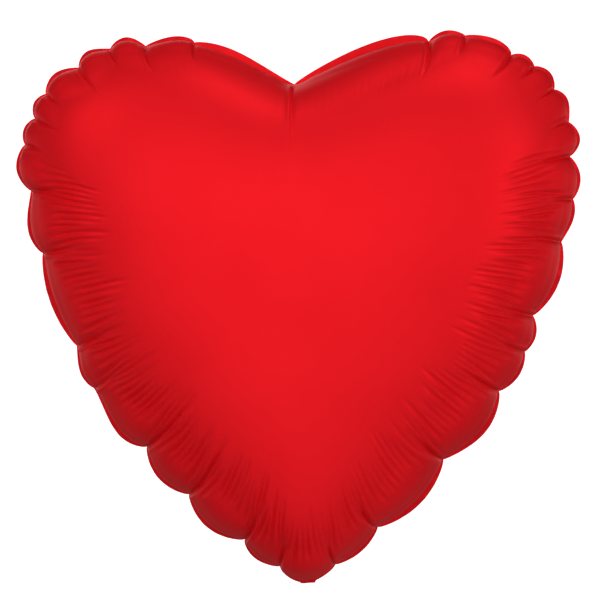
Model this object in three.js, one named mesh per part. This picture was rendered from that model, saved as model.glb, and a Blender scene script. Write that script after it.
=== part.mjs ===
// Heart-shaped foil balloon: two foil panels heat-sealed round a scalloped rim, a flat tail that
// folds at the neck, and a self-sealing valve of two clear films that runs from the tail into the
// envelope. Millimetres, +Z up, front towards -Y. The origin is the neck, at the heart's bottom tip.
import * as THREE from 'three';

// Driving dimensions.
const panelHalfDepth = 80;       // crown of each panel above the seam plane
const filmThickness = 0.4;       // stand-in for 0.03 mm foil
const filmGap = 0.3;             // clearance between films that touch
const flangeWidth = 5;           // heat-seal band outside the inflated edge
const flangeAtPinch = 1.6;       // what is left of the band where the rim gathers
const heartMiddle = [0, 205];    // centre that the panel's rings close on
const heartToNeck = 6.8;         // the neck sits this far right of the heart's middle
const rimStep = 10;              // spacing of points along the rim
const scallopRoundness = 0.75;   // below 1 gives a scallop full shoulders
const ringCount = 7;             // rings from the seam to the crown
const scallopFade = 5;           // how fast the scallops smooth out towards the crown
const smoothingReach = 6;        // rim points either side that the plain outline averages
const pinchDepth = 9;            // how far a crease sinks into the panel at the rim

const tailWidth = 26;
const tailRootLength = 6;        // straight stretch next to the fold
const tailBendRadius = 28;       // curl that keeps the tail close to the back panel
const tailBendAngle = THREE.MathUtils.degToRad(50);
const tailFlatLength = 26;       // flat end of the tail
const foldDrop = 1;              // fold line below the heart's tip
const foldClearance = 1;         // tail starts this far from the fold line

const valveThickness = 0.3;      // stand-in for 0.06 mm polyethylene
const inletWidth = 16;           // clear valve films between the tail's foils
const inletSetback = 8;          // inlet ends this far short of the tail's open end
const sleeveWidth = 16;          // same films inside the envelope
const sleeveStart = 9;
const sleeveLength = 95;

// Gathers in the rim, anticlockwise from the cleft as seen from the front. Each row is the gather's
// x and z, the bulge of the scallop that follows it, and how far along that scallop its crest is.
const gathers = [
  [-2, 335.4, 5.5, 0.65], [-69, 363.4, 5.2, 0.4], [-101.7, 361, 6.9, 0.55],
  [-125.6, 359.4, 6.6, 0.6], [-146.8, 346.6, 7.1, 0.55], [-169, 329, 5, 0.5],
  [-176.3, 312.5, 4.7, 0.5], [-183, 295, 8.1, 0.5], [-179, 264, 7.2, 0.6],
  [-171, 222, 7, 0.5], [-148.4, 160, 4.8, 0.6], [-137, 131.5, 9, 0.65],
  [-101.3, 92, 8.6, 0.5], [-73, 60, 10, 0.5], [-35.5, 29.7, 6.2, 0.45],
  [-12, 11.5, 11.8, 0.45], [25.6, 12.8, 5.2, 0.5], [54, 38, 9.7, 0.5],
  [98, 83.5, 10.5, 0.55], [135.3, 129.6, 5.7, 0.5], [152.6, 156, 5.1, 0.5],
  [158, 180.4, 8.5, 0.5], [177, 229.6, 4, 0.6], [184.7, 258.5, 6.3, 0.5],
  [182.5, 287, 7.3, 0.5], [182, 310, 5.6, 0.6], [172, 332, 5.4, 0.5],
  [158.7, 347.5, 4.1, 0.5], [143.3, 355, 5.9, 0.4], [112.4, 368, 5.5, 0.5],
  [88, 364, 10.8, 0.35],
];

const redFoil = { color: 0xd8141f, roughness: 0.38, metalness: 0.55 };
const clearFilm = { color: 0xe9ecee, roughness: 0.25, metalness: 0 };

function namedMesh(name, geometry, look) {
  const mesh = new THREE.Mesh(geometry, new THREE.MeshStandardMaterial(look));
  mesh.name = name;
  return mesh;
}

// The outline under the scallops: each place is the average of the edge around it.
function smoothOutline(points) {
  return points.map((_, place) => {
    const sum = new THREE.Vector2();
    for (let shift = -smoothingReach; shift <= smoothingReach; shift += 1) {
      sum.add(points[(place + shift + points.length) % points.length].edge);
    }
    return sum.divideScalar(2 * smoothingReach + 1);
  });
}

// Points round the rim: place on the scalloped edge, place on the plain outline, outward
// direction, and how close to a gather the point is (1 at the gather, 0 at a crest).
function rimPoints() {
  const points = [];
  gathers.forEach(([x, z, bulge, crest], index) => {
    const [nextX, nextZ] = gathers[(index + 1) % gathers.length];
    const start = new THREE.Vector2(x, z);
    const chord = new THREE.Vector2(nextX - x, nextZ - z);
    const outward = new THREE.Vector2(chord.y, -chord.x).normalize();
    const steps = Math.max(3, Math.round(chord.length() / rimStep));
    const skew = Math.log(0.5) / Math.log(crest);
    for (let step = 0; step < steps; step += 1) {
      const along = step / steps;
      const swell = Math.sin(Math.PI * along ** skew) ** scallopRoundness;
      const onChord = start.clone().addScaledVector(chord, along);
      points.push({
        edge: onChord.clone().addScaledVector(outward, bulge * swell),
        outward,
        gather: 1 - swell,
      });
    }
  });
  const plain = smoothOutline(points);
  return points.map((point, place) => ({ ...point, plain: plain[place] }));
}

// One ring of the panel's outer skin. Turn runs from 0 at the seam to a quarter turn at the crown.
function panelRing(rim, turn) {
  const reach = Math.cos(turn);
  const fade = reach ** scallopFade;
  const middle = new THREE.Vector2(...heartMiddle);
  return rim.map((point) => {
    const band = THREE.MathUtils.lerp(flangeWidth, flangeAtPinch, point.gather);
    const seam = point.edge.clone().addScaledVector(point.outward, -band);
    const plain = point.plain.clone().addScaledVector(point.outward, -flangeWidth);
    const place = middle.clone().lerp(plain.lerp(seam, fade), reach);
    const crease = pinchDepth * point.gather * fade * Math.sin(turn) * 2;
    return new THREE.Vector3(place.x, panelHalfDepth * Math.sin(turn) - crease, place.y);
  });
}

// Moves a ring inwards by the film's thickness, square to the skin.
function innerRing(rings, index, crown) {
  const ring = rings[index];
  const count = ring.length;
  return ring.map((point, place) => {
    const around = ring[(place + 1) % count].clone().sub(ring[(place + count - 1) % count]);
    const above = index + 1 < rings.length ? rings[index + 1][place] : crown;
    const towardsCrown = above.clone().sub(index > 0 ? rings[index - 1][place] : point);
    const inside = around.cross(towardsCrown).normalize();
    return point.clone().addScaledVector(inside, filmThickness);
  });
}

// A dish-shaped film: outer skin, inner skin and the edge band between them. Side is -1 for the
// front panel and 1 for the back panel.
function panelGeometry(side) {
  const rim = rimPoints();
  const turns = Array.from({ length: ringCount }, (_, ring) => (ring * Math.PI) / 2 / ringCount);
  const rings = turns.map((turn) => panelRing(rim, turn));
  const crown = new THREE.Vector3(heartMiddle[0], panelHalfDepth, heartMiddle[1]);
  const inner = rings.map((ring, index) => innerRing(rings, index, crown));
  const edge = rim.map((point) => new THREE.Vector3(point.edge.x, 0, point.edge.y));
  const atHeight = (ring, height) => ring.map((point) => point.clone().setY(height));
  const flangeTop = [edge, rings[0]].map((ring) => atHeight(ring, filmThickness));
  const innerSkin = [atHeight(inner[0], 0), ...inner.slice(1)].reverse();
  const layers = [...innerSkin, edge, ...flangeTop, ...rings.slice(1)];

  const count = rim.length;
  const corners = layers.flat();
  corners.push(crown.clone().setY(panelHalfDepth - filmThickness));
  corners.push(crown);
  const positions = corners.flatMap(({ x, y, z }) => [
    x - heartToNeck, side * (y + filmGap / 2), z]);
  const faces = [];
  for (let place = 0; place < count; place += 1) {
    const next = (place + 1) % count;
    for (let layer = 0; layer + 1 < layers.length; layer += 1) {
      const low = layer * count;
      const high = low + count;
      faces.push([low + place, low + next, high + next], [low + place, high + next, high + place]);
    }
    const last = (layers.length - 1) * count;
    faces.push([layers.length * count, next, place]);
    faces.push([layers.length * count + 1, last + place, last + next]);
  }
  const geometry = new THREE.BufferGeometry();
  geometry.setAttribute('position', new THREE.Float32BufferAttribute(positions, 3));
  geometry.setIndex(faces.flatMap(([a, b, c]) => (side < 0 ? [a, b, c] : [a, c, b])));
  return geometry;
}

// Side view of one film of the tail, between two distances below the tail's middle line. The film
// leaves the fold along +Y, curls up beside the back panel and ends flat.
function tailProfile(upper, lower, endSetback) {
  const centreY = tailRootLength;
  const centreZ = tailBendRadius;
  const end = tailFlatLength - endSetback;
  const pointAt = (radius, extra) => [
    centreY + radius * Math.sin(tailBendAngle) + extra * Math.cos(tailBendAngle),
    centreZ - radius * Math.cos(tailBendAngle) + extra * Math.sin(tailBendAngle),
  ];
  const upperRadius = tailBendRadius - upper;
  const lowerRadius = tailBendRadius - lower;
  const bottom = -Math.PI / 2;
  const shape = new THREE.Shape();
  shape.moveTo(foldClearance, upper);
  shape.lineTo(foldClearance, lower);
  shape.absarc(centreY, centreZ, lowerRadius, bottom, bottom + tailBendAngle, false);
  shape.lineTo(...pointAt(lowerRadius, end));
  shape.lineTo(...pointAt(upperRadius, end));
  shape.absarc(centreY, centreZ, upperRadius, bottom + tailBendAngle, bottom, true);
  shape.closePath();
  return shape;
}

// Extruded sideways: the shape's x becomes +Y, its y becomes +Z and its depth runs along X.
function tailFilm(name, upper, lower, width, endSetback, look) {
  const geometry = new THREE.ExtrudeGeometry(tailProfile(upper, lower, endSetback), {
    depth: width,
    bevelEnabled: false,
    curveSegments: 8,
  });
  geometry.rotateX(Math.PI / 2).rotateZ(Math.PI / 2);
  const mesh = namedMesh(name, geometry, look);
  mesh.position.set(-width / 2, 0, -foldDrop);
  return mesh;
}

function tail() {
  const group = new THREE.Group();
  const valveNear = filmGap / 2;
  const valveFar = valveNear + valveThickness;
  const foilNear = valveFar + filmGap;
  const foilFar = foilNear + filmThickness;
  group.add(
    tailFilm('tail_back_film', foilFar, foilNear, tailWidth, 0, redFoil),
    tailFilm('valve_inlet_back', valveFar, valveNear, inletWidth, inletSetback, clearFilm),
    tailFilm('valve_inlet_front', -valveNear, -valveFar, inletWidth, inletSetback, clearFilm),
    tailFilm('tail_front_film', -foilNear, -foilFar, tailWidth, 0, redFoil),
  );
  return group;
}

// The valve's two films inside the envelope, standing up from the neck.
function valveSleeve() {
  const group = new THREE.Group();
  [['valve_sleeve_front', -1], ['valve_sleeve_back', 1]].forEach(([name, side]) => {
    const geometry = new THREE.BoxGeometry(sleeveWidth, valveThickness, sleeveLength);
    const film = namedMesh(name, geometry, clearFilm);
    film.position.y = side * (filmGap + valveThickness) / 2;
    group.add(film);
  });
  group.position.z = sleeveStart + sleeveLength / 2;
  return group;
}

const balloon = new THREE.Group();
balloon.add(
  namedMesh('front_panel', panelGeometry(-1), redFoil),
  namedMesh('back_panel', panelGeometry(1), redFoil),
  tail(),
  valveSleeve(),
);

export default balloon;
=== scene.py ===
"""Looks of the heart-shaped foil balloon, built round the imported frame. Metres, +Z up, front -Y."""
import math

import bpy
import numpy as np
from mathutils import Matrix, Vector


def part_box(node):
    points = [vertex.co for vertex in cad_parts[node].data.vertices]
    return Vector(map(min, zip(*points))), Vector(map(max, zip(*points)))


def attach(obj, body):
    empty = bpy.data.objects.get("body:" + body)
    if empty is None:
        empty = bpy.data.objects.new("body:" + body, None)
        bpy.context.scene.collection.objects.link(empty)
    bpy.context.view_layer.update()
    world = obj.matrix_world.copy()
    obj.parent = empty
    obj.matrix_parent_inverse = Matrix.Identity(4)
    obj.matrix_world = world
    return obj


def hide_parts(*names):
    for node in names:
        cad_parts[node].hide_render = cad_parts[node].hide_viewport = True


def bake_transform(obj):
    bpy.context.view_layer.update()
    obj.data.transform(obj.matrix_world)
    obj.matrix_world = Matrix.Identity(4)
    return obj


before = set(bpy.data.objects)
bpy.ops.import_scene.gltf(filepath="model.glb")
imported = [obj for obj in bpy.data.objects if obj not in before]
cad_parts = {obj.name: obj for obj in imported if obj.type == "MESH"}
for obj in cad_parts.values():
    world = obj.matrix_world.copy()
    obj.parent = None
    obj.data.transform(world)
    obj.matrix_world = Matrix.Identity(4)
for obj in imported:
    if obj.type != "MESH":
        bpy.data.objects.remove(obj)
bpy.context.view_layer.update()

MM = 0.001

# The balloon's driving sizes.
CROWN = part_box("front_panel")[0].y * -1        # height of a panel's crown above the seam plane
HEART_MIDDLE = (0.0, 0.225)                    # where the film's threads run together
HEART_TO_NECK = 6.8 * MM                       # the neck sits this far right of the heart's middle
BAND_AT_GATHER = 1.2 * MM                      # what shows of the seal flange at a gather
BAND_AT_CREST = 2.3 * MM                       # the flange at the crest of a very short scallop
BAND_GROWTH = 0.045                            # and how much wider it gets with the scallop's length
FLANGE_HALF = 0.2 * MM                         # half the thickness of the two sealed films
ROUNDNESS = 0.75                               # below 1 gives a scallop full shoulders
BAND_ROUNDNESS = 0.6                           # how fast the flange widens from a gather
RIM_STEP = 0.72 * MM                           # spacing of the mesh along the rim
NORMAL_BLUR = 14                               # rim places either side that the rim's normal averages
THREAD_PULL = 95.0 * MM                        # how far threads run square to the rim before turning
THREAD_LIMIT = 0.5                             # and at most this share of the touching circle's radius
THREAD_BLUR = 60                               # rim places either side that their heading averages
PULL_BLUR = 90                                 # and that their pull averages
FAR_SIDE = 8 * MM                              # nearer places don't count for the touching circle

# Gathers in the rim, anticlockwise from the cleft as seen from the front, in millimetres from the
# heart's middle: x, z, bulge of the next scallop, where its crest is (0 to 1), crease length.
GATHERS = (
    (-2, 335.4, 5.5, 0.65, 46), (-69, 363.4, 5.2, 0.4, 12), (-101.7, 361, 6.9, 0.55, 20),
    (-125.6, 359.4, 6.6, 0.6, 14), (-146.8, 346.6, 7.1, 0.55, 22), (-169, 329, 5, 0.5, 12),
    (-176.3, 312.5, 4.7, 0.5, 20), (-183, 295, 8.1, 0.5, 12), (-179, 264, 7.2, 0.6, 24),
    (-171, 222, 7, 0.5, 36), (-148.4, 160, 4.8, 0.6, 44), (-137, 131.5, 9, 0.65, 15),
    (-101.3, 92, 8.6, 0.5, 45), (-73, 60, 10, 0.5, 46), (-35.5, 29.7, 6.2, 0.45, 27),
    (-12, 11.5, 11.8, 0.45, 20), (25.6, 12.8, 5.2, 0.5, 20), (54, 38, 9.7, 0.5, 30),
    (98, 83.5, 10.5, 0.55, 44), (135.3, 129.6, 5.7, 0.5, 38), (152.6, 156, 5.1, 0.5, 20),
    (158, 180.4, 8.5, 0.5, 26), (177, 229.6, 4, 0.6, 38), (184.7, 258.5, 6.3, 0.5, 15),
    (182.5, 287, 7.3, 0.5, 26), (182, 310, 5.6, 0.6, 14), (172, 332, 5.4, 0.5, 16),
    (158.7, 347.5, 4.1, 0.5, 12), (143.3, 355, 5.9, 0.4, 20), (112.4, 368, 5.5, 0.5, 14),
    (88, 364, 10.8, 0.35, 24),
)


def smooth(low, high, value):
    """0 below low, 1 above high and a soft step between."""
    part = np.clip((value - low) / (high - low), 0, 1)
    return part * part * (3 - 2 * part)


def unit(vectors):
    return vectors / np.maximum(np.linalg.norm(vectors, axis=-1, keepdims=True), 1e-12)


def running_mean(values, reach):
    """Mean over reach places either side, round a closed run."""
    total = np.zeros_like(values)
    for shift in range(-reach, reach + 1):
        total += np.roll(values, shift, axis=0)
    return total / (2 * reach + 1)


def touching_radius(line, normal):
    """Radius of the largest circle inside a closed line that touches it at each of its points."""
    others = line[::12]
    gap = line[:, None, :] - others[None, :, :]
    square = (gap ** 2).sum(axis=2)
    inward = np.einsum("psk,pk->ps", gap, normal)
    facing = (inward > 0) & (square > FAR_SIDE ** 2)
    return np.where(facing, square / np.maximum(2 * inward, 1e-9), np.inf).min(axis=1)


def rim_line():
    """The rim, point by point: the scalloped edge, the seam, the plain line under the scallops."""
    points = np.array([row[:2] for row in GATHERS]) * MM
    count = len(points)
    rows = []
    for index, (_, _, bulge, crest, crease) in enumerate(GATHERS):
        start, end = points[index], points[(index + 1) % count]
        chord = end - start
        length = np.linalg.norm(chord)
        before = chord if index == 0 else end - points[index - 1]
        after = chord if index == count - 1 else points[(index + 2) % count] - start
        outward = np.array((chord[1], -chord[0])) / length
        steps = 4 * max(3, round(length / RIM_STEP / 4))
        along = (np.arange(steps) / steps)[:, None]
        swell = np.sin(np.pi * along ** (math.log(0.5) / math.log(crest)))
        edge = start + chord * along + outward * (bulge * MM * swell ** ROUNDNESS)
        tangent_in, tangent_out = unit(before) * length, unit(after) * length
        a2, a3 = along ** 2, along ** 3
        plain = ((2 * a3 - 3 * a2 + 1) * start + (a3 - 2 * a2 + along) * tangent_in
                 + (3 * a2 - 2 * a3) * end + (a3 - a2) * tangent_out)
        next_crease = GATHERS[(index + 1) % count][4]
        mix = smooth(0.2, 0.8, along)
        reach = ((1 - mix) * crease + mix * next_crease) * MM
        nearest = np.where(along < 0.5, index, (index + 1) % count)
        band = BAND_AT_CREST + BAND_GROWTH * length - BAND_AT_GATHER
        band = BAND_AT_GATHER + band * swell ** BAND_ROUNDNESS
        rows.append(np.hstack([edge, plain, swell, reach, nearest, edge - outward * band]))
    table = np.vstack(rows)
    edge, plain, swell, reach = table[:, 0:2], table[:, 2:4], table[:, 4], table[:, 5]
    nearest, seam = table[:, 6].astype(int), table[:, 7:9]
    heading = unit(np.roll(plain, -1, axis=0) - np.roll(plain, 1, axis=0))
    normal = np.stack([heading[:, 1], -heading[:, 0]], axis=1)
    normal = unit(running_mean(normal, NORMAL_BLUR))
    plain = plain - normal * BAND_AT_GATHER
    step = np.linalg.norm(np.roll(plain, -1, axis=0) - plain, axis=1)
    travel = np.concatenate([[0], np.cumsum(step)[:-1]])
    square = unit(running_mean(normal, THREAD_BLUR))
    longest = np.minimum(THREAD_PULL, THREAD_LIMIT * touching_radius(plain, square))
    pull = running_mean(longest, PULL_BLUR)
    control = plain - square * pull[:, None]
    return dict(edge=edge, seam=seam, plain=plain, swell=swell, reach=reach, nearest=nearest,
                normal=normal, control=control, travel=travel, length=step.sum())


TIP_REACH = 42 * MM                            # the tip stays fat over this distance from the neck
TIP_FATNESS = {-1: 3.0, 1: 0.3}                # front and back: the folded tail keeps the back thin
PLATEAU = 0.55                                 # lower makes the crown flatter and the sides steeper
SOURCE_GAP = 26                                # millimetres that the soap film's sources stand outside


def swelling(rim, fatness):
    """The inflated film as a function of place: a height from 0 to 1 and the way it slopes."""
    fixed = rim["plain"][::6]
    sources = (rim["plain"] + rim["normal"] * SOURCE_GAP * MM)[::12]
    tip = np.array((HEART_TO_NECK, 0))

    def gaps(places):
        gap = places[:, None, :] - sources[None, :, :]
        return gap, (gap ** 2).sum(axis=2)

    _, square = gaps(fixed)
    matrix = np.hstack([0.5 * np.log(square), np.ones((len(fixed), 1))])
    strength = np.linalg.lstsq(matrix, (fixed ** 2).sum(axis=1) / 4, rcond=1e-9)[0]

    def soap_film(places):
        gap, square = gaps(places)
        height = 0.5 * np.log(square) @ strength[:-1] + strength[-1] - (places ** 2).sum(axis=1) / 4
        slope = np.einsum("psk,ps,s->pk", gap, 1 / square, strength[:-1]) - places / 2
        from_tip = places - tip
        distance = np.linalg.norm(from_tip, axis=1)
        fat = fatness * np.exp(-distance / TIP_REACH)
        thinning = (fat / TIP_REACH / np.maximum(distance, 1e-9) * height)[:, None] * from_tip
        return np.maximum(height * (1 + fat), 0), slope * (1 + fat)[:, None] - thinning

    heights = np.linspace(0.15, 0.27, 25)
    peak = soap_film(np.column_stack([np.zeros_like(heights), heights]))[0].max()
    full = 1 - math.exp(-1 / PLATEAU)

    def film(places):
        """The height, from 0 to 1, and its slope times the height, which stays finite at the rim."""
        height, slope = soap_film(places)
        share = height / peak / PLATEAU
        square = (1 - np.exp(-share)) / full
        rise = (np.exp(-share) / full / peak / PLATEAU)[:, None] * slope
        return np.sqrt(square), rise / 2

    return film


# A panel's rings, as turns from 0 at the seam to a quarter turn at the heart's middle. The mesh along
# a ring gets coarser at each of the two steps.
FINE_END = 0.96
MEDIUM_END = 1.26
FINE_TURNS = np.linspace(0, FINE_END, 39)
MEDIUM_TURNS = np.linspace(FINE_END, MEDIUM_END, 17)[1:]
COARSE_TURNS = np.linspace(MEDIUM_END, math.pi / 2, 25)[1:-1]


def threads(rim, turn):
    """Places where the film's threads cross one ring. They leave the rim square to it."""
    part = 1 - math.cos(turn)
    middle = np.array(HEART_MIDDLE)
    return (1 - part) ** 2 * rim["plain"] + 2 * part * (1 - part) * rim["control"] + part ** 2 * middle


PUCKER_DEPTH = 2.2 * MM
PUCKER_SHARE = (0.5, 1.0)                      # of that depth, from pucker to pucker
PUCKER_START = (7, 12)                         # in millimetres from the rim
PUCKER_LENGTH = (26, 46)                       # in millimetres
PUCKER_WIDTH = (1.45, 1.95)                    # in millimetres
PUCKER_PITCH = (4.1, 5.5)                      # in millimetres along the rim
PUCKERS_END = {"left": (0.268, 0.300), "right": (0.290, 0.302)}   # they fade out between these heights
PUCKER_STRENGTH = {"left": 1.4, "right": 1.1}
BESIDE_GATHER = (3 * MM, 17 * MM)              # puckers this near to a gather run towards it
PULL_REACH = 34 * MM                           # and run apart again over this distance from it


def pucker_rows(rim, seed):
    """Fine puckers square to the rim. Those beside a gather run together towards it."""
    rng = np.random.default_rng(seed)
    total = rim["length"]
    rows, travel = [], 0.0
    while travel < total - 3 * MM:
        place = int(np.searchsorted(rim["travel"], travel) % len(rim["travel"]))
        x, z = rim["plain"][place]
        half = "left" if x < 0 else "right"
        side = 1 - smooth(*PUCKERS_END[half], z)
        depth = (0.04 + 0.96 * side) * rng.uniform(*PUCKER_SHARE) * PUCKER_STRENGTH[half]
        gap = (rim["gather_travel"] - travel + total / 2) % total - total / 2
        nearest = np.argmin(np.abs(gap))
        beside = 1 - smooth(*BESIDE_GATHER, abs(gap[nearest]))
        start = rng.uniform(*PUCKER_START) * MM * (1 - 0.75 * beside)
        end = start + rng.uniform(*PUCKER_LENGTH) * MM * (0.6 + 0.4 * side) * (1 + 0.25 * beside)
        width = rng.uniform(*PUCKER_WIDTH) * MM
        rows.append((travel, gap[nearest] * beside, depth, start, end, width))
        travel += rng.uniform(*PUCKER_PITCH) * MM
    return rows


def puckers(rim, away, rows):
    """How far the fine puckers sink the film, for one ring at a distance away from the rim."""
    sink = np.zeros(len(away))
    total = rim["length"]
    for travel, pull, depth, start, end, width in rows:
        gap = (rim["travel"] - travel + total / 2) % total - total / 2
        near = np.flatnonzero(np.abs(gap) < 3 * width + abs(pull))
        along = away[near]
        gap = gap[near] - 0.7 * pull * (1 - smooth(0, PULL_REACH, along))
        span = end - start
        window = smooth(start, start + 0.25 * span, along) * (1 - smooth(end - 0.6 * span, end, along))
        sink[near] += depth * np.exp(-((gap / width) ** 2)) * window
    return sink * PUCKER_DEPTH


SCALLOP_FADE = 0.35                            # scallops fade out over this share of a crease's length
SCALLOP_REACH = 11 * MM                        # and this distance more
OVERHANG = 1.4 * MM                            # how far a puff leans out over the flange
OVERHANG_HEIGHT = 26 * MM                      # from the seam to where the overhang ends
CREASE_DEPTH = 1.9 * MM
CREASE_WIDTH = 0.9 * MM
CREASE_LIP = 0.45                              # height of the lip beside a crease, against its depth
CREASE_LIP_PLACE = 2.6 * MM
CREASE_LIP_WIDTH = 1.3 * MM


def panel_ring(rim, film, scale, turn, rows, step):
    """One ring of a panel's skin: scalloped swelling, creases at the gathers and fine puckers."""
    places = threads(rim, turn)[::step]
    root, slope = film(places)
    normal = unit(np.column_stack([-scale * slope[:, 0], -root, -scale * slope[:, 1]]))
    skin = np.column_stack([places[:, 0], -scale * root, places[:, 1]])
    away = np.linalg.norm(places - rim["plain"][::step], axis=1)

    swell = rim["swell"][::step]
    bulge = ((rim["seam"] - rim["plain"]) * rim["normal"]).sum(axis=1)[::step]
    part = np.clip(away / (rim["reach"][::step] * SCALLOP_FADE + SCALLOP_REACH), 0, 1)
    fading = (1 + np.cos(np.pi * part)) / 2
    narrowing = np.maximum(swell, 0.02) ** (-0.5 * part)
    rise = bulge * fading * narrowing
    lean = np.sin(np.pi * np.clip(scale * root / OVERHANG_HEIGHT, 0, 1))
    rise += OVERHANG * swell ** 0.5 * lean

    total = rim["length"]
    knots = rim["gather_travel"][rim["nearest"][::step]]
    gap = (rim["travel"][::step] - knots + total / 2) % total - total / 2
    crease_length = rim["crease_length"][rim["nearest"][::step]]
    lasting = (1 - smooth(0.3, 1.05, away / crease_length)) * smooth(0, 2 * MM, away)
    lip = CREASE_LIP * np.exp(-(((gap - CREASE_LIP_PLACE) / CREASE_LIP_WIDTH) ** 2))
    fold = np.exp(-np.abs(gap) / CREASE_WIDTH) - lip
    rise -= CREASE_DEPTH * fold * lasting
    if step == 1:
        rise -= puckers(rim, away, rows)
    return skin + normal * rise[:, None]


def stitch(faces, outer, inner):
    """Faces between two rings of places, the inner one with as many points or half as many."""
    count = len(outer)
    if len(inner) == count:
        for k in range(count):
            n = (k + 1) % count
            faces.append((outer[k], outer[n], inner[n], inner[k]))
        return
    for k in range(len(inner)):
        n = (k + 1) % len(inner)
        a, b, c = outer[2 * k], outer[2 * k + 1], outer[(2 * k + 2) % count]
        faces.append((a, b, inner[k]))
        faces.append((b, c, inner[n], inner[k]))


TAIL_HALF_WIDTH = 13 * MM
NECK_HALF_WIDTH = 5 * MM                       # the tail is narrower where it leaves the heart's tip
INLET_HALF_WIDTH = 8 * MM                      # clear valve films between the tail's foils
TAIL_LIFT = 1.1 * MM                           # the fold is this much tighter than in the frame
TAIL_BEND_RADIUS = 28 * MM
TAIL_BEND = math.radians(50)
TAIL_FLAT = 26 * MM
TAIL_ROOT = 6 * MM                             # from the neck to the start of the bend
INLET_SETBACK = 8 * MM
TAIL_CLEARANCE = 3.2 * MM                      # between the tail's middle line and the back panel
FOLD_DROP = 1 * MM                             # the frame's fold is this far below the neck
TAIL_FLARE = (7 * MM, 34 * MM)                 # the tail widens between these distances from the flange
TAIL_COLUMNS = 45
TAIL_ROWS = 104
SEALED_FROM = (0.76, 0.92)                     # the foils close up between these shares of half the width
MOUTH = {-1: 3, 1: 0.4}                        # millimetres that the open end's foils part, front and back
INLET_MOUTH = {-1: 1.5, 1: 0.4}                # the same for the clear films
FILM_GAP = 0.1 * MM                            # from the tail's middle line to a foil at the root
FILM_PARTING = 0.4 * MM                        # and how much more it is further along the tail
INLET_SHARE = 0.4                              # the clear films keep this share of the foils' gap
CRINKLE = 0.05 * MM


def tail_reach(z):
    """How far back the tail's middle line is at a height above the neck."""
    rise = z + FOLD_DROP
    bend_rise = TAIL_BEND_RADIUS * (1 - math.cos(TAIL_BEND))
    turn = np.arccos(np.clip(1 - rise / TAIL_BEND_RADIUS, math.cos(TAIL_BEND), 1))
    beyond = np.maximum(rise - bend_rise, 0) / math.tan(TAIL_BEND)
    return TAIL_ROOT + TAIL_BEND_RADIUS * np.sin(turn) + beyond


def pressed_by_tail(ring):
    """The folded tail presses a shallow dent into the back panel."""
    x, y, z = ring.T
    under = 1 - smooth(16 * MM, 30 * MM, np.abs(x - HEART_TO_NECK))
    limit = tail_reach(np.maximum(z, 0)) - TAIL_CLEARANCE
    over = np.maximum(y - limit, 0) * under * (1 - smooth(34 * MM, 60 * MM, z))
    return np.column_stack([x, y - over, z])


FLANGE_RIPPLE = 0.25 * MM
FLANGE_CURL = 3.2 * MM                         # how far the crests of the flange curl back
FLANGE_WAVES = (45, 150)                       # waves round the whole rim


def flange_line(rim, part):
    """A line along the seal flange, midway between its films: part is 0 at the edge, 1 at the seam.
    The flange ripples and curls back a little."""
    rng = np.random.default_rng(5)
    waves = sum(rng.uniform(0.3, 1) * np.sin(2 * np.pi * k * rim["travel"] / rim["length"]
                + rng.uniform(0, 6.3)) for k in rng.integers(*FLANGE_WAVES, 14)) / 3
    ripple = FLANGE_RIPPLE * waves
    curl = FLANGE_CURL * rim["swell"] * (1 + 0.12 * waves)
    flat = rim["edge"] + (rim["seam"] - rim["edge"]) * part
    return np.column_stack([flat[:, 0], (ripple + curl) * (1 - part) ** 1.3, flat[:, 1]])


def panel(name, side, seed):
    """A whole panel. Side is -1 for the front and 1 for the back."""
    rim = rim_line()
    starts = np.array([np.argmin(np.linalg.norm(rim["edge"] - np.array(row[:2]) * MM, axis=1))
                       for row in GATHERS])
    rim["gather_travel"] = rim["travel"][starts]
    rim["crease_length"] = np.array([row[4] for row in GATHERS]) * MM
    film = swelling(rim, TIP_FATNESS[side])
    scale = CROWN - FLANGE_HALF
    rows = pucker_rows(rim, seed)

    rings = [flange_line(rim, part) + (0, side * FLANGE_HALF, 0) for part in (0.0, 0.35, 0.7, 0.95)]
    for turns, step in ((FINE_TURNS, 1), (MEDIUM_TURNS, 2), (COARSE_TURNS, 4)):
        for turn in turns:
            ring = panel_ring(rim, film, scale, turn, rows, step)
            ring[:, 1] *= -side
            ring[:, 1] += side * FLANGE_HALF
            if side > 0:
                ring = pressed_by_tail(ring)
            rings.append(ring)
    middle = np.array([HEART_MIDDLE])
    top = [[middle[0, 0], side * (scale * film(middle)[0][0] + FLANGE_HALF), middle[0, 1]]]
    rings.append(np.array(top))

    corners = np.vstack(rings)
    corners[:, 0] -= HEART_TO_NECK
    faces, first, numbers = [], 0, []
    for ring in rings:
        numbers.append(list(range(first, first + len(ring))))
        first += len(ring)
    for outer, inner in zip(numbers[:-2], numbers[1:-1]):
        stitch(faces, outer, inner)
    last = numbers[-2]
    faces += [(last[k], last[(k + 1) % len(last)], numbers[-1][0]) for k in range(len(last))]
    if side > 0:
        faces = [face[::-1] for face in faces]
    return mesh_object(name, corners, faces)


def mesh_object(name, corners, faces):
    mesh = bpy.data.meshes.new(name)
    mesh.from_pydata(corners.tolist(), [], faces)
    mesh.shade_smooth()
    mesh.update()
    piece = bpy.data.objects.new(name, mesh)
    bpy.context.collection.objects.link(piece)
    return piece


def bezier(a, b, c, d, t):
    return ((1 - t) ** 3)[:, None] * a + (3 * t * (1 - t) ** 2)[:, None] * b \
        + (3 * t * t * (1 - t))[:, None] * c + (t ** 3)[:, None] * d


def tail_half_width(run):
    """The tail flares from the neck to its full width, out of sight behind the heart."""
    flare = smooth(*TAIL_FLARE, run)
    return NECK_HALF_WIDTH + (TAIL_HALF_WIDTH - NECK_HALF_WIDTH) * flare


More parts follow.
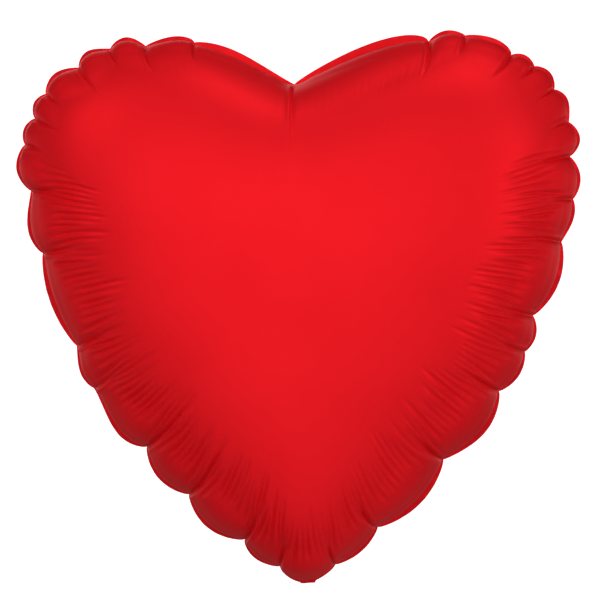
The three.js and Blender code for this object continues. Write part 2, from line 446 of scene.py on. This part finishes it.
def tail_path(start, heading, width, rows):
    """Middle line of one strand of the tail, from the flange's edge, round the fold to the open end.
    Start is on the flange's edge and width is where the strand lies across the tail, from -1 to 1."""
    bottom = np.array((0, TAIL_ROOT, TAIL_LIFT - FOLD_DROP))
    above = TAIL_BEND_RADIUS - FOLD_DROP
    strand = bezier(start, start + heading * 1.6 * MM, bottom - (0, 2.6 * MM, 0), bottom,
                    np.linspace(0, 1, 12))[:-1]
    turns = np.linspace(0, TAIL_BEND, 20)
    radius = TAIL_BEND_RADIUS - TAIL_LIFT * (1 - turns / TAIL_BEND)
    arc = np.column_stack([0 * turns, TAIL_ROOT + radius * np.sin(turns),
                           above - radius * np.cos(turns)])
    ahead = np.array((0, math.cos(TAIL_BEND), math.sin(TAIL_BEND)))
    flat = arc[-1] + np.linspace(0, TAIL_FLAT, 22)[1:, None] * ahead
    strand = np.vstack([strand, arc, flat])
    run = np.concatenate([[0], np.cumsum(np.linalg.norm(np.diff(strand[:, 1:], axis=0), axis=1))])
    even = np.linspace(0, run[-1], rows)
    strand = np.column_stack([np.interp(even, run, strand[:, axis]) for axis in range(3)])
    strand[:, 0] = width * tail_half_width(even)
    return strand, even


def tail_film(name, rim, side, clear):
    """One film of the tail. Side is -1 for the film that carries on from the front panel, and clear
    is true for the valve film beside it."""
    tip = np.abs(rim["edge"][:, 0] - HEART_TO_NECK) < 3 * NECK_HALF_WIDTH
    tip &= rim["edge"][:, 1] < 30 * MM
    lines = [flange_line(rim, part)[tip] - (HEART_TO_NECK, 0, 0) for part in (0.55, 0.3, 0.12, 0.0)]
    across = np.linspace(-1, 1, TAIL_COLUMNS)
    spread = INLET_HALF_WIDTH / TAIL_HALF_WIDTH if clear else 1
    rng = np.random.default_rng(3 if side < 0 else 4)
    grid = []
    for share in across:
        width = share * spread
        places = []
        for line in lines:
            order = np.argsort(line[:, 0])
            x = width * NECK_HALF_WIDTH
            places.append([x, np.interp(x, line[order, 0], line[order, 1]),
                           np.interp(x, line[order, 0], line[order, 2])])
        places = np.array(places)
        heading = unit(places[3] - places[2])
        strand, run = tail_path(places[3], heading, width, TAIL_ROWS)
        strand = np.vstack([places[:3], strand])
        run = np.concatenate([run[0] - np.linalg.norm(places[:3] - places[3], axis=1), run])
        grid.append((strand, run))
    strands = np.array([strand for strand, _ in grid])
    run = grid[len(grid) // 2][1]
    if clear:
        keep = (run > 2 * MM) & (run < run[-1] - INLET_SETBACK)
        strands, run = strands[:, keep], run[keep]

    along = unit(np.gradient(strands, axis=1))
    normal = np.stack([0 * along[..., 0], along[..., 2], -along[..., 1]], axis=-1)
    normal = unit(normal) * -side
    sealed = 1 - smooth(*SEALED_FROM, np.abs(across))[:, None]
    gap = FILM_GAP + FILM_PARTING * smooth(0, 8 * MM, run)[None, :] * (1 if clear else sealed)
    gap = gap * (INLET_SHARE if clear else 1)
    mouth = smooth(TAIL_FLAT * 0.7, 0, total_run(run, clear))[None, :]
    opening = (INLET_MOUTH if clear else MOUTH)[side]
    gap = gap + mouth * np.cos(across * np.pi / 2)[:, None] ** 2 * opening * MM
    crinkle = sum(rng.uniform(0.3, 1) * np.sin(rng.uniform(-600, 600) * strands[..., 0]
                  + rng.uniform(-420, 420) * run[None, :] + rng.uniform(0, 6.3)) for _ in range(7))
    gap = gap + CRINKLE * crinkle * smooth(4 * MM, 16 * MM, run)[None, :] * (0.3 if clear else 1)
    strands = strands + normal * gap[..., None]
    return grid_piece(name, strands)


def total_run(run, clear):
    """Distance left to the tail's open end."""
    return run[-1] + (INLET_SETBACK if clear else 0) - run


def sleeve_film(name, side):
    """One film of the valve inside the envelope: heat-sealed sides, slightly parted and wavy."""
    low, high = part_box("valve_sleeve_front")
    across = np.linspace(-1, 1, 25)
    up = np.linspace(0, 1, 80)
    half = (high.x - low.x) / 2
    x = np.repeat(across[:, None] * half, len(up), axis=1)
    z = np.repeat(low.z + (high.z - low.z) * up[None, :], len(across), axis=0)
    sealed = 1 - smooth(0.7, 0.9, np.abs(across))[:, None]
    parted = (0.15 + 0.3 * sealed + 0.5 * sealed * smooth(0.75, 1, up)[None, :]) * MM
    wave = 0.5 * MM * np.sin(2 * np.pi * up * 1.3)[None, :] * smooth(0, 0.2, up)[None, :]
    y = side * parted + wave + 0.12 * MM * np.sin(9 * across[:, None] + 14 * up[None, :])
    return grid_piece(name, np.stack([x, y, z], axis=-1))


def grid_piece(name, grid):
    """A film made from a grid of places."""
    columns, rows = grid.shape[:2]
    faces = [(i * rows + j, (i + 1) * rows + j, (i + 1) * rows + j + 1, i * rows + j + 1)
             for i in range(columns - 1) for j in range(rows - 1)]
    return mesh_object(name, grid.reshape(-1, 3), faces)


def linear(red, green, blue):
    """A colour given as screen values from 0 to 255, as the shader wants it."""
    def one(value):
        value /= 255
        return value / 12.92 if value <= 0.04045 else ((value + 0.055) / 1.055) ** 2.4
    return (one(red), one(green), one(blue), 1)


def noise(nodes, links, scale, detail):
    """A noise texture fixed to the object, and its strength."""
    place = nodes.new("ShaderNodeTexCoord")
    texture = nodes.new("ShaderNodeTexNoise")
    texture.inputs["Scale"].default_value = scale
    texture.inputs["Detail"].default_value = detail
    links.new(place.outputs["Object"], texture.inputs["Vector"])
    return texture.outputs["Fac"]


def red_foil():
    """Satin metallised film: deep even red with a soft sheen and faint crinkle."""
    material = bpy.data.materials.new("red_foil_look")
    material.use_nodes = True
    nodes, links = material.node_tree.nodes, material.node_tree.links
    shader = nodes["Principled BSDF"]
    shader.inputs["Metallic"].default_value = 0.35
    shader.inputs["Roughness"].default_value = 0.54
    shader.inputs["Specular IOR Level"].default_value = 0.12
    shader.inputs["Specular Tint"].default_value = linear(215, 100, 102)
    tint = nodes.new("ShaderNodeValToRGB")
    tint.color_ramp.elements[0].position = 0.3
    tint.color_ramp.elements[0].color = linear(234, 24, 33)
    tint.color_ramp.elements[1].position = 0.7
    tint.color_ramp.elements[1].color = linear(240, 27, 36)
    bump = nodes.new("ShaderNodeBump")
    bump.inputs["Strength"].default_value = 0.05
    bump.inputs["Distance"].default_value = 0.0003
    links.new(noise(nodes, links, scale=14, detail=3), tint.inputs["Fac"])
    links.new(tint.outputs["Color"], shader.inputs["Base Color"])
    links.new(noise(nodes, links, scale=420, detail=2), bump.inputs["Height"])
    links.new(bump.outputs["Normal"], shader.inputs["Normal"])
    return material


def clear_film():
    """Thin clear film: see-through, glossy, and slightly milky where the noise is high."""
    material = bpy.data.materials.new("clear_film_look")
    material.use_nodes = True
    nodes, links = material.node_tree.nodes, material.node_tree.links
    shader = nodes["Principled BSDF"]
    shader.inputs["Roughness"].default_value = 0.22
    shader.inputs["Base Color"].default_value = linear(232, 236, 240)
    haze = nodes.new("ShaderNodeMapRange")
    haze.inputs["To Min"].default_value = 0.3
    haze.inputs["To Max"].default_value = 0.55
    links.new(noise(nodes, links, scale=180, detail=3), haze.inputs["Value"])
    links.new(haze.outputs["Result"], shader.inputs["Alpha"])
    return material


SENSOR_WIDTH = 36                                # the camera's sensor, in millimetres
CAMERA_DISTANCE = 3.2
PICTURE_WIDTH = 0.4028                         # what the picture shows, at the balloon
CAMERA_AZIMUTH = math.radians(1)
CAMERA_ELEVATION = math.radians(2)
TARGET = Vector((-HEART_TO_NECK + 1.7 * MM, 0, 0.1907))
WORLD_LIGHT = 0.03

# Disc lights, all aimed at the balloon: name, place, size, watts.
LIGHTS = (
    ("front", (-0.28, -2.66, 0.58), 1.3, 25.5),
    ("right", (2.05, -1.72, 0.58), 1.2, 21),
    ("left", (-1.81, -1.27, 1.75), 1.2, 18),
    ("top", (0.75, -0.45, 2.75), 1.2, 20),
    ("back", (-0.6, 3.0, 1.0), 1.8, 22),
)

# Side view of the studio's bowl, from the middle of its floor: distance out, height.
BOWL_PROFILE = [(0.0, -0.7), (4.5, -0.7), (5.5, -0.6), (5.9, -0.3), (6.0, 0.1), (6.0, 0.64)]
BOWL_CORNERS = 96


def place_facing(thing, away):
    """Puts a camera or a light in the scene, facing the target from the direction away."""
    thing.rotation_euler = (-away).to_track_quat("-Z", "Y").to_euler()
    bpy.context.collection.objects.link(thing)


def add_camera():
    data = bpy.data.cameras.new("camera")
    data.sensor_width = SENSOR_WIDTH
    data.lens = SENSOR_WIDTH * CAMERA_DISTANCE / PICTURE_WIDTH
    camera = bpy.data.objects.new("camera", data)
    away = Vector((math.sin(CAMERA_AZIMUTH) * math.cos(CAMERA_ELEVATION),
                   -math.cos(CAMERA_AZIMUTH) * math.cos(CAMERA_ELEVATION),
                   math.sin(CAMERA_ELEVATION)))
    camera.location = TARGET + away * CAMERA_DISTANCE
    place_facing(camera, away)
    bpy.context.scene.camera = camera


def add_world():
    world = bpy.data.worlds.new("world")
    world.use_nodes = True
    world.node_tree.nodes["Background"].inputs["Color"].default_value = (1, 1, 1, 1)
    world.node_tree.nodes["Background"].inputs["Strength"].default_value = WORLD_LIGHT
    bpy.context.scene.world = world
    bpy.context.scene.view_settings.view_transform = "Standard"


def add_lights():
    for name, place, size, power in LIGHTS:
        data = bpy.data.lights.new(name, "AREA")
        data.shape = "DISK"
        data.size = size
        data.energy = power
        light = bpy.data.objects.new(name, data)
        light.location = place
        place_facing(light, Vector(place) - TARGET)


def ramp(nodes, links, source, low, high, start=0, end=1):
    """Start below low, end above high and a straight line between, as a node's output."""
    node = nodes.new("ShaderNodeMapRange")
    node.inputs["From Min"].default_value = low
    node.inputs["From Max"].default_value = high
    node.inputs["To Min"].default_value = start
    node.inputs["To Max"].default_value = end
    links.new(source, node.inputs["Value"])
    return node.outputs["Result"]


def paper():
    """Pale matt paper that glows above the floor, and more towards the back of the bowl."""
    material = bpy.data.materials.new("paper")
    material.use_nodes = True
    nodes, links = material.node_tree.nodes, material.node_tree.links
    shader = nodes["Principled BSDF"]
    shader.inputs["Base Color"].default_value = (0.5, 0.5, 0.5, 1)
    shader.inputs["Roughness"].default_value = 0.9
    shader.inputs["Emission Strength"].default_value = 1
    place = nodes.new("ShaderNodeTexCoord")
    split = nodes.new("ShaderNodeSeparateXYZ")
    both = nodes.new("ShaderNodeMath")
    both.operation = "MULTIPLY"
    links.new(place.outputs["Object"], split.inputs["Vector"])
    above_floor = ramp(nodes, links, split.outputs["Z"], -0.69, -0.62)
    towards_back = ramp(nodes, links, split.outputs["Y"], -2, 5, 0.3, 1.05)
    links.new(above_floor, both.inputs[0])
    links.new(towards_back, both.inputs[1])
    links.new(both.outputs["Value"], shader.inputs["Emission Color"])
    return material


def add_bowl():
    """The floor and the wall round it, turned from one profile."""
    count = BOWL_CORNERS
    corners = [(r * math.cos(2 * math.pi * k / count), r * math.sin(2 * math.pi * k / count), z)
               for r, z in BOWL_PROFILE[1:] for k in range(count)] + [(0, 0, BOWL_PROFILE[0][1])]
    faces = [(ring * count + k, ring * count + (k + 1) % count,
              (ring + 1) * count + (k + 1) % count, (ring + 1) * count + k)
             for ring in range(len(BOWL_PROFILE) - 2) for k in range(count)]
    faces += [(len(corners) - 1, (k + 1) % count, k) for k in range(count)]
    bowl = mesh_object("studio_bowl", np.array(corners), faces)
    bowl.data.materials.append(paper())


add_camera()
add_world()
add_lights()
add_bowl()
foil = red_foil()
for name, side, seed in (("front_skin", -1, 11), ("back_skin", 1, 23)):
    skin = panel(name, side, seed)
    skin.data.materials.append(foil)
    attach(skin, "envelope")
    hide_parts("front_panel" if side < 0 else "back_panel")

clear = clear_film()
rim = rim_line()
tail_length = TAIL_ROOT + TAIL_BEND_RADIUS * TAIL_BEND + TAIL_FLAT
inlet_length = tail_length - INLET_SETBACK
tail_area, inlet_area = (
    2 * float(tail_half_width(np.linspace(0, reach, 200)).mean()) * reach
    for reach in (tail_length, inlet_length))
inlet_area *= INLET_HALF_WIDTH / TAIL_HALF_WIDTH
for side, end in ((-1, "front"), (1, "back")):
    film = tail_film("tail_" + end, rim, side, clear=False)
    film.data.materials.append(foil)
    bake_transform(film)
    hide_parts("tail_" + end + "_film")

    inlet = tail_film("inlet_" + end, rim, side, clear=True)
    inlet.data.materials.append(clear)
    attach(inlet, "tail")
    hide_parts("valve_inlet_" + end)

    sleeve = sleeve_film("sleeve_" + end, side)
    sleeve.data.materials.append(clear)
    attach(sleeve, "valve_sleeve")
    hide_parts("valve_sleeve_" + end)
